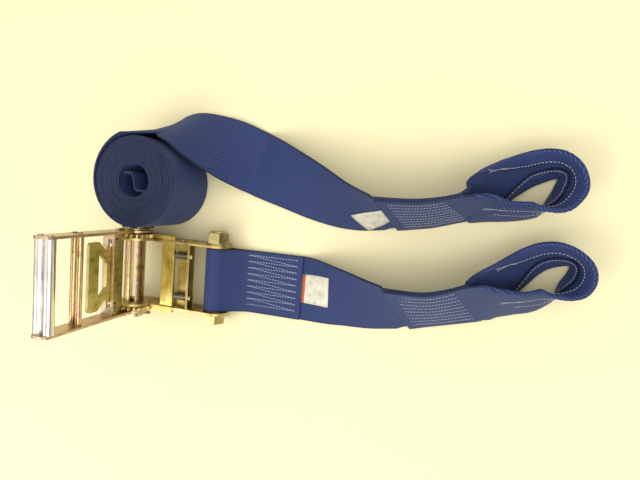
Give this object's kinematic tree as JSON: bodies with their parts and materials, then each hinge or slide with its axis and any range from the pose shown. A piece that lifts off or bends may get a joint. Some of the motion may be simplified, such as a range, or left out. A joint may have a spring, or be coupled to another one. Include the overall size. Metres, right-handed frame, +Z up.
{
  "type": "ratchet tie down",
  "caption": "Wide-handle ratchet tie-down: side frame with lock pawl, slotted spool, sprung drive pawl, sewn fixed-end strap with eye, and a separate rolled long strap.",
  "frame": {"origin": "centre of the spool axis, midway between the side plates", "axes": "+X from the spool to the anchor bolt and on along the straps, +Y along the spool axis, +Z up, with the handle standing upright"},
  "size_m": [0.5481, 0.2569, 0.1774],
  "materials": {
    "gold_zinc_plate": "yellow zinc plated steel plate",
    "gold_zinc_fastener": "yellow zinc plated steel fasteners",
    "gold_zinc_bar": "yellow zinc plated round bar",
    "handle_zinc": "yellow zinc plated strip, pinkish cast",
    "grip_bright": "bright zinc plated tube",
    "spring_steel": "spring wire",
    "webbing": "woven blue webbing",
    "webbing_double": "woven blue webbing, folded and sewn",
    "label_cloth": "blank woven label"
  },
  "bodies": {
    "frame": {"frame_side_left": "gold_zinc_plate", "frame_side_right": "gold_zinc_plate", "pawl_bracket": "gold_zinc_plate", "bracket_rivets": "gold_zinc_plate", "anchor_bolt": "gold_zinc_fastener", "anchor_nut": "gold_zinc_fastener", "anchor_washers": "gold_zinc_fastener", "anchor_sleeve": "gold_zinc_plate", "lock_springs": "spring_steel"},
    "lock_pawl": {"lock_pawl": "gold_zinc_plate", "lock_pawl_pins": "gold_zinc_plate"},
    "spool": {"spool_half_front": "gold_zinc_bar", "spool_half_rear": "gold_zinc_bar", "ratchet_wheel_left": "gold_zinc_plate", "ratchet_wheel_right": "gold_zinc_plate", "hub_washers": "gold_zinc_plate", "cotter_pins": "gold_zinc_plate"},
    "handle": {"handle_side_left": "handle_zinc", "handle_side_right": "handle_zinc", "grip_tube_rear": "grip_bright", "grip_tube_front": "grip_bright", "handle_rod_rear": "gold_zinc_bar", "handle_rod_front": "gold_zinc_bar", "handle_bracket": "handle_zinc", "drive_springs": "spring_steel"},
    "drive_pawl": {"drive_pawl": "gold_zinc_plate"},
    "fixed_strap": {"fixed_strap_loop": "webbing", "fixed_strap_run": "webbing", "fixed_strap_splice": "webbing_double", "fixed_strap_eye": "webbing_double", "fixed_label": "label_cloth"},
    "loose_strap": {"strap_roll": "webbing", "long_strap_run": "webbing", "long_strap_splice": "webbing_double", "long_strap_eye": "webbing_double", "long_label": "label_cloth"}
  },
  "joints": [
    {"name": "handle_hinge", "type": "hinge", "parent": "frame", "child": "handle", "pos_m": [0, 0, 0], "axis": [0, 1, 0], "range_deg": [-90, 75]},
    {"name": "spool_turn", "type": "hinge", "parent": "frame", "child": "spool", "pos_m": [0, 0, 0], "axis": [0, 1, 0], "continuous": true},
    {"name": "lock_pawl_slide", "type": "slide", "parent": "frame", "child": "lock_pawl", "axis": [1, 0, 0], "range_m": [0, 0.0055], "stiffness_N_per_m": 900, "springref_m": -0.006, "deforming": ["lock_springs"]},
    {"name": "drive_pawl_slide", "type": "slide", "parent": "handle", "child": "drive_pawl", "axis": [0, 0, 1], "range_m": [0, 0.0055], "stiffness_N_per_m": 900, "springref_m": -0.006, "deforming": ["drive_springs"]},
    {"name": "fixed_strap_swing", "type": "hinge", "parent": "frame", "child": "fixed_strap", "pos_m": [0.109, 0, -0.0125], "axis": [0, -1, 0], "range_deg": [0, 60]},
    {"name": "loose_strap_slide", "type": "slide", "parent": "frame", "child": "loose_strap", "axis": [0, 1, 0], "range_m": [0, 0.15]}
  ]
}
